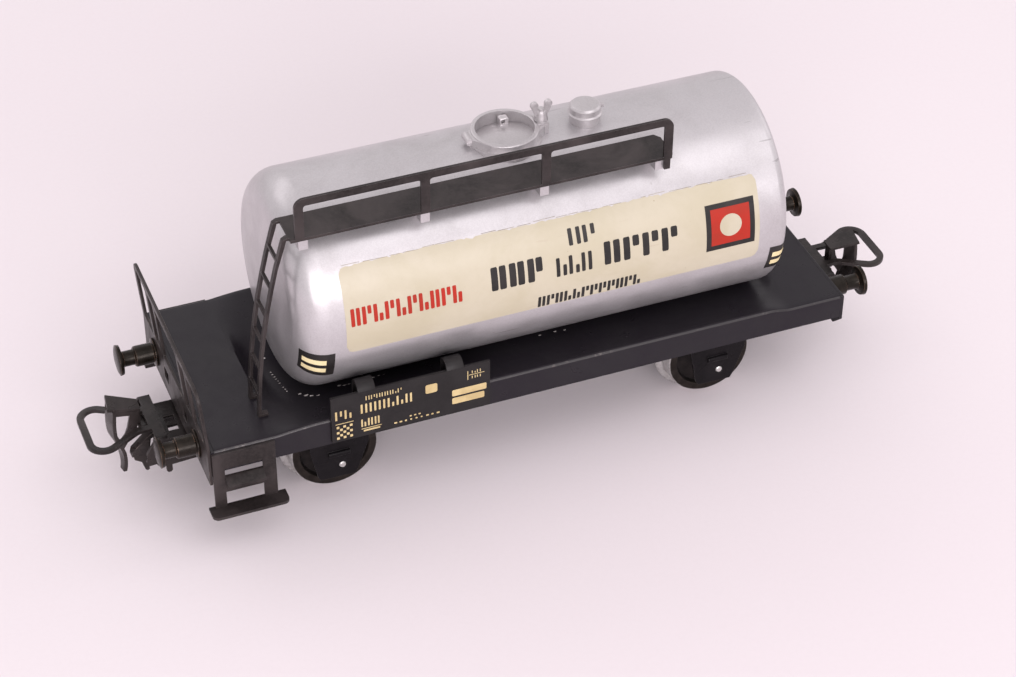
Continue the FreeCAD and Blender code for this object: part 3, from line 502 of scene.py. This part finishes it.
def tank_outline(u, lift):
    """(x, radius) on the tank's skin; u runs along the barrel, over the shoulders and down the ends."""
    way = -1 if u < TANK_MIDDLE_X else 1
    edge_x, edge_r, dish = ((TANK_LEFT_X, LEFT_EDGE_R, LEFT_DISH) if way < 0
                            else (TANK_RIGHT_X, RIGHT_EDGE_R, RIGHT_DISH))
    centre_x = edge_x - way * edge_r
    past = way * (u - centre_x)
    if past <= 0:
        return u, TANK_R + lift
    turn = past / edge_r
    flat_r = TANK_R - edge_r
    if turn <= math.pi / 2:
        return centre_x + way * (edge_r + lift) * math.sin(turn), flat_r + (edge_r + lift) * math.cos(turn)
    radius = flat_r - (past - edge_r * math.pi / 2)
    return edge_x + way * (lift + dish * (1 - (radius / flat_r) ** 2)), radius


def tank_point(u, degrees, side, lift):
    """The point at u and at that height on the near (-1) or far (1) side."""
    x, radius = tank_outline(u, lift)
    angle = math.radians(degrees)
    return x, side * radius * math.cos(angle), TANK_Z + radius * math.sin(angle)


def tank_patch(solids, us, low, high, side, lift, steps):
    """Thin curved patch between low(u) and high(u) degrees above the tank's middle line."""
    outer, inner = [], []
    for u in us:
        angles = spread(low(u), high(u), steps)
        outer.append([tank_point(u, a, side, lift) for a in angles])
        inner.append([tank_point(u, a, side, -SUNK) for a in angles])
    solids.sheet(outer, inner)


def corner_cut(u, radius):
    """How far a rounded corner of the label draws its edge in at u, in millimetres."""
    gap = min(u - LABEL_START, LABEL_END - u)
    if gap >= radius:
        return 0.0
    return radius - math.sqrt(max(radius ** 2 - (radius - max(gap, 0.0)) ** 2, 0.0))


def place(u, side):
    """The far side carries the same layout, read from that side."""
    return u if side < 0 else 2 * TANK_MIDDLE_X - u


def label_ground(side, paint):
    """The transfer's ground, with rounded corners and an upper edge that wanders and is nicked."""
    rng = random.Random(7)
    us = spread(LABEL_START, LABEL_END, LABEL_STEPS)
    nicks = {i: rng.uniform(0.2, 0.9) for i in range(3, LABEL_STEPS - 2) if rng.random() < 0.2}
    wander = [0.0]
    for _ in us[1:]:
        wander.append(wander[-1] * 0.9 + rng.uniform(-0.2, 0.2))
    low = {}
    high = {}
    for i, u in enumerate(us):
        row = place(u, side)
        low[row] = LABEL_LOW + corner_cut(u, LOW_CORNER_R) * DEGREES_PER_MM
        high[row] = LABEL_HIGH - corner_cut(u, HIGH_CORNER_R) * DEGREES_PER_MM + wander[i] - nicks.get(i, 0.0)
    solids = Solids()
    tank_patch(solids, list(low), low.get, high.get, side, GROUND_LIFT, 26)
    solids.build("label_ground_" + SIDE_NAMES[side], "chassis", "tank_silver", paint)


def edge_trace(side, paint):
    """Broken dirty line where the transfer's upper edge has collected grime."""
    rng = random.Random(19)
    solids = Solids()
    at = TRACE_START
    while at < TRACE_END:
        length = rng.uniform(0.5, 3.2)
        height = TRACE_LOW + rng.uniform(-0.25, 0.35)
        slant = rng.uniform(-0.12, 0.12)
        rows = [place(u, side) for u in spread(at, at + length, 4)]
        if rng.random() < 0.72:
            tank_patch(solids, rows, lambda u: height + slant * (u - rows[0]),
                       lambda u: height + TRACE_WIDTH + slant * (u - rows[0]), side, TRACE_LIFT, 2)
        at += length + rng.uniform(0.1, 0.9)
    solids.build("label_edge_trace_" + SIDE_NAMES[side], "chassis", "tank_silver", paint)


def strokes(solids, word, side):
    """A row of plain upright strokes that fills the space of a word without spelling anything."""
    start, end, low, high, letters, weight, seed = word
    rng = random.Random(seed)
    pitch = (end - start) / letters
    width = min(weight, pitch * WIDEST_STROKE)
    full = high - low
    for k in range(letters):
        left = start + k * pitch
        for j, offset in enumerate((0.0, pitch * LETTER_WIDTH - width)):
            tall = 1.0 if j == 0 else rng.choice(STROKE_HEIGHTS)
            bottom = low if rng.random() < 0.5 else high - full * tall
            rows = [place(left + offset + width * share, side) for share in (0.0, 0.12, 0.88, 1.0)]
            trim = {rows[0]: STROKE_TRIM, rows[-1]: STROKE_TRIM}
            tank_patch(solids, rows, lambda u: bottom + trim.get(u, 0.0) * full,
                       lambda u: bottom + full * tall - trim.get(u, 0.0) * full, side, STROKE_LIFT, 4)


def rectangle(solids, area, side, lift):
    """Plain rectangle bent round the tank."""
    start, end, low, high = area
    rows = [place(u, side) for u in spread(start, end, 8)]
    tank_patch(solids, rows, lambda u: low, lambda u: high, side, lift, 10)


def disc(solids, centre, middle, radius, side, lift):
    """Round spot on the tank."""
    turns = [math.pi * (0.02 + 0.96 * i / 16) for i in range(17)]
    rows = [place(centre - radius * math.cos(t), side) for t in turns]
    reach = {row: radius * math.sin(t) * DEGREES_PER_MM for row, t in zip(rows, turns)}
    tank_patch(solids, rows, lambda u: middle - reach[u], lambda u: middle + reach[u], side, lift, 8)


def label(side, paints):
    """The transfer on one side: ground, words as rows of strokes, and the red panel with its spot."""
    label_ground(side, paints["cream"])
    edge_trace(side, paints["grime"])
    dark_words = Solids()
    for word in DARK_WORDS:
        strokes(dark_words, word, side)
    red_word = Solids()
    strokes(red_word, RED_WORD, side)
    border = Solids()
    rectangle(border, PANEL_BORDER, side, BORDER_LIFT)
    panel = Solids()
    rectangle(panel, PANEL, side, PANEL_LIFT)
    spot = Solids()
    start, end, low, high = PANEL
    disc(spot, (start + end) / 2, (low + high) / 2, PANEL_SPOT_R, side, SPOT_LIFT)
    for solids, name, paint in (
            (dark_words, "label_strokes_dark_", "ink_black"), (red_word, "label_strokes_red_", "ink_red"),
            (border, "label_panel_border_", "ink_black"), (panel, "label_panel_", "ink_red"),
            (spot, "label_panel_spot_", "cream")):
        solids.build(name + SIDE_NAMES[side], "chassis", "tank_silver", paints[paint])


def corner_plates(side, paints):
    """Small black plate with two pale stripes, bent round each end of the tank."""
    plates = Solids()
    stripes = Solids()
    for start, end, low, high in CORNER_PLATES:
        tank_patch(plates, spread(start, end, 22), lambda u: low, lambda u: high, side, PLATE_LIFT, 8)
        tall = high - low
        for bottom in STRIPE_BOTTOMS:
            us = spread(start + STRIPE_LEFT_GAP, end - STRIPE_RIGHT_GAP, 16)
            tank_patch(stripes, us, lambda u: low + bottom * tall,
                       lambda u: low + (bottom + STRIPE_HEIGHT) * tall, side, STRIPE_LIFT, 4)
    plates.build("corner_plate_" + SIDE_NAMES[side], "chassis", "tank_silver", paints["ink_black"])
    stripes.build("corner_stripes_" + SIDE_NAMES[side], "chassis", "tank_silver", paints["stripe"])


# ---- markings on the name boards -----------------------------------------------------------
# Places are x and z in millimetres from the board's lower left corner, as its reader sees it.
MARK_SUNK = 0.05                        # how far a mark reaches into the board, and stands out of it
MARK_LIFT = 0.025
BLOCK_CUT = 0.12                        # share of a block's smaller side taken off its corners
BOARD_LETTER_WIDTH = 0.72               # share of a letter's pitch
# Rows of strokes: left, right, bottom, top, letters, a stroke's width.
LEFT_ROWS = (
    (0.5, 3.0, 3.55, 4.95, 2, 0.26),
    (3.9, 11.1, 3.75, 5.2, 6, 0.26),
    (4.6, 9.6, 5.75, 6.4, 7, 0.13),
    (3.9, 6.6, 1.55, 2.75, 3, 0.22),
)
RIGHT_ROWS = (
    (18.9, 20.3, 5.9, 6.35, 2, 0.11),
    (18.9, 20.3, 5.1, 5.5, 2, 0.11),
)
# Plain blocks: left, right, bottom, top.
LEFT_BLOCKS = (
    (3.9, 6.6, 1.15, 1.25),
    (4.2, 6.4, 0.72, 0.98),
    (0.5, 2.9, 2.85, 2.95),
)
RIGHT_BLOCKS = (
    (12.6, 14.2, 4.35, 5.75),
    (16.2, 20.9, 2.85, 3.85),
    (16.2, 20.6, 1.55, 2.55),
    (18.3, 18.4, 5.0, 6.4),
    (18.5, 20.6, 5.68, 5.76),
)
CHECK_LEFT = 0.62                       # a small chequered square of five by five cells
CHECK_BOTTOM = 0.42
CHECK_PITCH = 0.44
CHECK_CELL = 0.36
LOW_BARS_LEFT = 8.3                     # nine short bars along the board's foot
LOW_BARS_PITCH = 0.72
HIGH_BARS_LEFT = 10.4                   # three short bars above them
HIGH_BARS_PITCH = 0.6
HIGH_BAR = 0.28


def board_marks(side, gold):
    """Plain gold blocks and strokes laid out in rows over the board."""
    low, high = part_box("name_board_near" if side < 0 else "name_board_far")
    left, right = low.x / MM, high.x / MM
    bottom = low.z / MM
    face_y = (low.y if side < 0 else high.y) / MM
    solids = Solids()
    rng = random.Random(11)

    def block(x0, x1, z0, z1):
        """A flat block with its corners cut."""
        if side < 0:
            a, b = left + x0, left + x1
        else:
            a, b = right - x1, right - x0
        c = BLOCK_CUT * min(b - a, z1 - z0)
        outline = [(a + c, z0), (b - c, z0), (b, z0 + c), (b, z1 - c), (b - c, z1), (a + c, z1), (a, z1 - c),
                   (a, z0 + c)]
        points = [(x, face_y - side * MARK_SUNK, bottom + z) for x, z in outline]
        solids.plate(points, (0, side * (MARK_SUNK + MARK_LIFT), 0))

    def row(x0, x1, z0, z1, letters, weight):
        """Upright strokes in pairs, the second of each pair full or short."""
        pitch = (x1 - x0) / letters
        for k in range(letters):
            at = x0 + k * pitch
            block(at, at + weight, z0, z1)
            tall = rng.choice(STROKE_HEIGHTS)
            start = z0 if rng.random() < 0.5 else z1 - (z1 - z0) * tall
            stop = at + pitch * BOARD_LETTER_WIDTH
            block(stop - weight, stop, start, start + (z1 - z0) * tall)

    for sizes in LEFT_ROWS:
        row(*sizes)
    for area in LEFT_BLOCKS:
        block(*area)
    for i in range(5):
        for j in range(5):
            if (i + j) % 2 == 0:
                x, z = CHECK_LEFT + i * CHECK_PITCH, CHECK_BOTTOM + j * CHECK_PITCH
                block(x, x + CHECK_CELL, z, z + CHECK_CELL)
    for area in RIGHT_BLOCKS:
        block(*area)
    for sizes in RIGHT_ROWS:
        row(*sizes)
    for k in range(9):
        x = LOW_BARS_LEFT + k * LOW_BARS_PITCH
        block(x, x + rng.uniform(0.2, 0.42), 0.72, 0.95)
    for k in range(3):
        x = HIGH_BARS_LEFT + k * HIGH_BARS_PITCH
        block(x, x + HIGH_BAR, 1.3, 1.5)
    solids.build("board_marks_" + SIDE_NAMES[side], "chassis", "board_black", gold)


# ---- pressed underframe with soft folds ----------------------------------------------------
BOWL_R = TANK_R + 0.03                  # the trough's round bottom
RIM_DROP = TANK_Z - RIM_Z
FLANK_ANGLE = (math.asin(BOWL_R / math.hypot(DECK_HALF_WIDTH, RIM_DROP))
               - math.atan2(RIM_DROP, DECK_HALF_WIDTH))
BOWL_HALF_WIDTH = BOWL_R * math.sin(FLANK_ANGLE)
LEFT_SLOPE = 2.8                        # length of the left slope on the middle line
LEFT_SLOPE_GAIN = 3.4                   # how much longer it is at the sills
RIGHT_SLOPE_X = 35.9                    # where the right slope begins on the middle line
RIGHT_SLOPE_SHIFT = 2.7                 # how much further left it begins at the sills
RIGHT_SLOPE = 1.3
RIGHT_SLOPE_GAIN = 1.9
FOLD_R = 0.42
LEAST_FOLD_R = 0.05
LEAN_SPAN = 0.2                         # length over which the deck's lean beside a fold is measured
FLAT_STEPS = 26
FOLD_STEPS = 6
SILL_STEPS = 3
FOLD_FACES = range(4, 7)                # faces in the middle of the fold, counted from the sill's foot
LEFT_ROW_PITCH = 0.35                   # close rows of points over the two slopes
RIGHT_ROW_PITCH = 0.3
RIGHT_ROWS_X = 32.0


def ease(t):
    """A soft step: 0 below t = 0, 1 above t = 1."""
    t = min(max(t, 0.0), 1.0)
    return t * t * (3 - 2 * t)


def trough_height(y):
    """A round bottom that the tank lies in, and straight flanks up to the sills."""
    y = abs(y)
    if y < BOWL_HALF_WIDTH:
        return TANK_Z - math.sqrt(BOWL_R ** 2 - y ** 2)
    foot = TANK_Z - BOWL_R * math.cos(FLANK_ANGLE)
    return foot + (y - BOWL_HALF_WIDTH) * math.tan(FLANK_ANGLE)


def deck_height(x, y):
    """Top of the deck: flat at both ends, sinking into the trough between them."""
    spread_out = (y / DECK_HALF_WIDTH) ** 2
    left_length = LEFT_SLOPE + LEFT_SLOPE_GAIN * spread_out
    right_start = RIGHT_SLOPE_X - RIGHT_SLOPE_SHIFT * spread_out
    right_length = RIGHT_SLOPE + RIGHT_SLOPE_GAIN * spread_out
    down = math.sin(math.pi / 2 * min(max((x - CREASE_X) / left_length, 0.0), 1.0))
    up = ease((x - right_start) / right_length)
    return DECK_Z + (trough_height(y) - DECK_Z) * down * (1 - up)


def frame_section(x, inset):
    """Half section from the middle out to the sill's foot; inset 0 is the skin, SHEET its inner face."""
    flat_end = DECK_HALF_WIDTH - FOLD_R
    points = [(y, deck_height(x, y) - inset) for y in spread(0.0, flat_end, FLAT_STEPS)]
    slope = (deck_height(x, flat_end) - deck_height(x, flat_end - LEAN_SPAN)) / LEAN_SPAN
    lean = math.atan(slope)
    radius = FOLD_R - inset
    centre_z = points[-1][1] - radius * math.cos(lean)
    stop = DECK_HALF_WIDTH - inset
    for t in spread(math.pi / 2, 0.0, FOLD_STEPS)[1:]:
        y = flat_end + (stop - flat_end) * math.cos(t)
        points.append((y, centre_z + max(radius, LEAST_FOLD_R) * math.sin(t)))
    points += [(stop, z) for z in spread(points[-1][1], SILL_BOTTOM_Z, SILL_STEPS)[1:]]
    return points


def underframe_pressing(paint, edge):
    """The whole pressing as one skin: deck, trough, two sills and the folds between them."""
    slope_left = [CREASE_X - 0.4 + i * LEFT_ROW_PITCH for i in range(22)]
    slope_right = [RIGHT_ROWS_X + i * RIGHT_ROW_PITCH for i in range(19)]
    xs = spread(-DECK_END_X, CREASE_X - 0.9, 5) + slope_left
    xs += spread(slope_left[-1], RIGHT_ROWS_X, 20)[1:-1] + slope_right
    xs += spread(slope_right[-1], DECK_END_X, 4)[1:]
    outer, inner = [], []
    for x in xs:
        skins = []
        for inset in (0.0, SHEET):
            half = frame_section(x, inset)
            skins.append([(x, -y, z) for y, z in reversed(half)] + [(x, y, z) for y, z in half[1:]])
        outer.append(skins[0])
        inner.append(skins[1])
    solids = Solids()
    solids.sheet(outer, inner)
    full = len(outer[0])
    # The faces in the middle of each fold take the second paint, the lighter black that paints a highlight
    # line along the fold.
    fold = set(FOLD_FACES) | {full - 2 - j for j in FOLD_FACES}
    indices = []
    for i in range(len(xs) - 1):
        for j in range(full - 1):
            indices += [1 if j in fold else 0, 0]
    indices += [0] * (len(solids.faces) - len(indices))
    obj = piece("underframe_pressing", solids.verts, solids.faces, "chassis", [paint, edge],
                indices=indices)
    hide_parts("underframe")


# ---- floor ---------------------------------------------------------------------------------
def lay_floor():
    """A slab of paper that the wheels stand on."""
    reach, foot = FLOOR_HALF_WIDTH, -FLOOR_THICKNESS
    slab = Solids()
    slab.plate([(-reach, -reach, foot), (reach, -reach, foot), (reach, reach, foot), (-reach, reach, foot)],
               (0, 0, FLOOR_THICKNESS))
    mesh = bpy.data.meshes.new("floor")
    mesh.from_pydata([Vector(v) * MM for v in slab.verts], [], slab.faces)
    mesh.materials.append(floor_paper())
    floor_object = bpy.data.objects.new("floor", mesh)
    bpy.context.scene.collection.objects.link(floor_object)


# ---- small paint chips ---------------------------------------------------------------------
# Chips beside the tank: x, y, and how far the chip reaches.
CHIP_SPOTS = [
    (-30.0, -7.3, 0.4), (-29.4, -8.0, 0.5), (-28.8, -8.4, 0.35), (-28.0, -8.7, 0.3), (-24.8, -7.6, 0.45),
    (-24.2, -7.8, 0.35), (-23.6, -7.8, 0.25), (-22.4, -7.5, 0.4), (-21.6, -7.4, 0.5), (-20.9, -7.6, 0.4),
    (-20.2, -7.6, 0.25), (-19.4, -7.5, 0.3), (-18.7, -7.5, 0.18), (-31.9, 2.4, 0.25), (-31.9, 3.7, 0.25),
    (3.2, -7.2, 0.3), (5.4, -7.2, 0.35), (6.7, -7.4, 0.25),
]
CHIP_SUNK = 0.04
CHIP_THICKNESS = 0.065


def chips(paint):
    """Thin light flakes where the black enamel is nicked beside the tank, and a row across its left end."""
    rng = random.Random(5)
    solids = Solids()
    row = [(-31.9 + 0.06 * k, -0.5 - 0.6 * k, rng.uniform(0.06, 0.2)) for k in range(10)]
    for x, y, size in CHIP_SPOTS + row:
        count = rng.randint(6, 9)
        points = []
        for k in range(count):
            t = 2 * math.pi * k / count
            reach = size * rng.uniform(0.35, 1.0)
            px, py = x + reach * math.cos(t), y + 0.45 * reach * math.sin(t)
            points.append((px, py, deck_height(px, py) - CHIP_SUNK))
        solids.plate(points, (0, 0, CHIP_THICKNESS))
    solids.build("paint_chips", "chassis", "frame_black", paint)


# ---- carried-over CAD nodes ----------------------------------------------------------------
WELD_GAP = 0.002                        # points closer than this are joined before the bevel
SMALL_BEVEL = 0.04
PLATE_BEVEL = 0.08


def dress(node, material, edge=None, bevel=0.07, angle=34):
    """Gives a CAD node its finish, and softens its edges with a narrow bevel that shows the wear."""
    obj = nodes[node]
    obj.data.materials.clear()
    obj.data.materials.append(material)
    if not edge:
        return
    obj.data.materials.append(edge)
    weld = obj.modifiers.new("weld", "WELD")
    weld.merge_threshold = WELD_GAP * MM
    soft = obj.modifiers.new("soft_edges", "BEVEL")
    soft.width = bevel * MM
    soft.segments = 2
    soft.limit_method = "ANGLE"
    soft.angle_limit = math.radians(angle)
    soft.material = 1
    soft.use_clamp_overlap = True
    even = obj.modifiers.new("even_normals", "WEIGHTED_NORMAL")
    even.keep_sharp = False
    even.weight = 70


# ---- the scene -----------------------------------------------------------------------------
camera()
bpy.context.scene.view_settings.view_transform = "Standard"
world((1.0, 0.948, 0.970), 0.89)
area_light("key", (0.22, -0.50, 0.88), (0, 0, 0.02), 0.75, 0.55, 1.85, (1.0, 0.965, 0.98))
area_light("right_fill", (0.85, 0.10, 0.55), (0, 0, 0.02), 0.5, 0.6, 0.7, (1.0, 0.96, 0.98))
area_light("back_fill", (-0.25, 0.75, 0.65), (0, 0, 0.03), 0.8, 0.4, 0.9, (1.0, 0.95, 0.97))
area_light("low_fill", (-0.15, -0.85, 0.33), (0, 0, 0.01), 0.9, 0.35, 6.4, (1.0, 0.95, 0.97))

lay_floor()

silver = silver_lacquer("tank_lacquer", (0.50, 0.48, 0.495), (0.43, 0.41, 0.42), 0.36)
fitting = silver_lacquer("fitting_lacquer", (0.50, 0.475, 0.485), (0.42, 0.40, 0.41), 0.34, 0.0)
fitting_edge = rubbed_edge("fitting_edge", (0.50, 0.48, 0.49), (0.62, 0.60, 0.60), 0.12, 0.42)
frame_paint = enamel("frame_enamel", (0.0130, 0.0104, 0.0145), (0.0165, 0.0145, 0.0175), (0.16, 0.145, 0.14),
                     0.34, chips=0.79, dust=0.79, grain=0.002)
# The fold paint is a lighter, glossier black than the deck's enamel: a painted highlight along each fold,
# with rubbed patches of bare metal.
fold_sheen_and_wear = rubbed_edge("fold_sheen_and_wear", (0.030, 0.027, 0.029), (0.22, 0.19, 0.18), 0.06, 0.25)
frame_edge = rubbed_edge("frame_edge", (0.016, 0.0145, 0.016), (0.20, 0.175, 0.165), 0.05)
guard_paint = enamel("guard_enamel", (0.0055, 0.0047, 0.0055), (0.010, 0.0085, 0.0098), (0.12, 0.105, 0.10),
                     0.3, specular=0.08)
guard_edge = rubbed_edge("guard_edge", (0.010, 0.0088, 0.0093), (0.16, 0.14, 0.13), 0.04, 0.3)
board_paint = enamel("board_enamel", (0.012, 0.0105, 0.011), (0.019, 0.017, 0.0175), (0.12, 0.105, 0.10),
                     0.46)
board_edge = rubbed_edge("board_edge", (0.02, 0.0175, 0.0175), (0.24, 0.20, 0.16), 0.1)
stamping = enamel("blackened_sheet", (0.0115, 0.0090, 0.0088), (0.042, 0.034, 0.0335), (0.15, 0.115, 0.10),
                  0.38, chips=0.72)
stamping_edge = rubbed_edge("blackened_edge", (0.032, 0.026, 0.025), (0.22, 0.175, 0.15), 0.08)
rail_edge = rubbed_edge("rail_edge", (0.115, 0.102, 0.108), (0.32, 0.29, 0.28), 0.1, 0.3)
coupler = enamel("coupler_sheet", (0.0095, 0.0075, 0.0073), (0.034, 0.027, 0.026), (0.15, 0.115, 0.10), 0.3,
                 chips=0.71, specular=0.26)
coupler_edge = rubbed_edge("coupler_edge", (0.035, 0.028, 0.027), (0.30, 0.24, 0.21), 0.14, 0.32)
gunmetal = turned_metal("buffer_gunmetal", (0.022, 0.017, 0.013), (0.007, 0.0055, 0.004), 0.28, "X",
                        metallic=0.5, tarnish=0.75, specular=0.25)
gunmetal_edge = rubbed_edge("buffer_edge", (0.055, 0.036, 0.027), (0.38, 0.21, 0.13), 0.22, 0.3)
plated = turned_metal("plated_steel", (0.66, 0.65, 0.64), (0.34, 0.32, 0.31), 0.28, "Z", tarnish=0.45)

for name in nodes:
    if name.startswith("tank_screws") or name.startswith("pivot_rivet") or name.startswith("hook_rivet"):
        dress(name, plated, plated, SMALL_BEVEL)
    elif name.startswith("tank_"):
        dress(name, silver)
    elif name in ("manhole_collar", "manhole_lid", "wing_nut", "filler_cap"):
        dress(name, fitting, fitting_edge, 0.1)
    elif name.startswith("name_board"):
        dress(name, board_paint, board_edge)
    elif name.startswith("coupler_"):
        dress(name, coupler, coupler_edge, 0.14 if "bail" in name else PLATE_BEVEL)
    elif name == "walkway":
        dress(name, stamping, rail_edge, PLATE_BEVEL)
    elif name == "end_railing" or name.startswith("step_"):
        dress(name, stamping, stamping_edge, PLATE_BEVEL)
    elif name.startswith("buffer_"):
        dress(name, gunmetal, gunmetal_edge, PLATE_BEVEL, 40)
    elif name.startswith("wheel_"):
        low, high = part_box(name)
        paint = wheel_metal(name + "_metal", (low.x + high.x) / 2, (low.z + high.z) / 2)
        dress(name, paint, paint, PLATE_BEVEL, 30)
    elif name.startswith("axle_guard"):
        dress(name, guard_paint, guard_edge, 0.16)
    elif name.startswith("headstock") or name.startswith("drawbar"):
        dress(name, frame_paint, frame_edge, PLATE_BEVEL)
    elif name != "underframe":
        dress(name, plated, plated, SMALL_BEVEL)

paints = {
    "cream": cream_ground(),
    "ink_black": ink("ink_black", (0.011, 0.010, 0.010), (0.022, 0.019, 0.018), 0.42, 0.74, gloss=0.0),
    "ink_red": ink("ink_red", (0.37, 0.016, 0.006), (0.31, 0.020, 0.008), 0.46, 0.74, gloss=0.0),
    "grime": ink("edge_grime", (0.20, 0.17, 0.13), (0.34, 0.30, 0.24), 0.5, 0.62),
    "stripe": ink("stripe_cream", (0.80, 0.70, 0.42), (0.70, 0.58, 0.32), 0.42, 0.74, (0.05, 0.045, 0.04)),
}
gold = ink("board_gold", (0.58, 0.46, 0.24), (0.46, 0.35, 0.17), 0.45, 0.68, (0.06, 0.05, 0.04))
for side in (-1, 1):
    label(side, paints)
    corner_plates(side, paints)
    board_marks(side, gold)
underframe_pressing(frame_paint, fold_sheen_and_wear)
chips(ink("chip_primer", (0.72, 0.68, 0.66), (0.5, 0.46, 0.44), 0.55, 0.66, (0.1, 0.09, 0.09)))
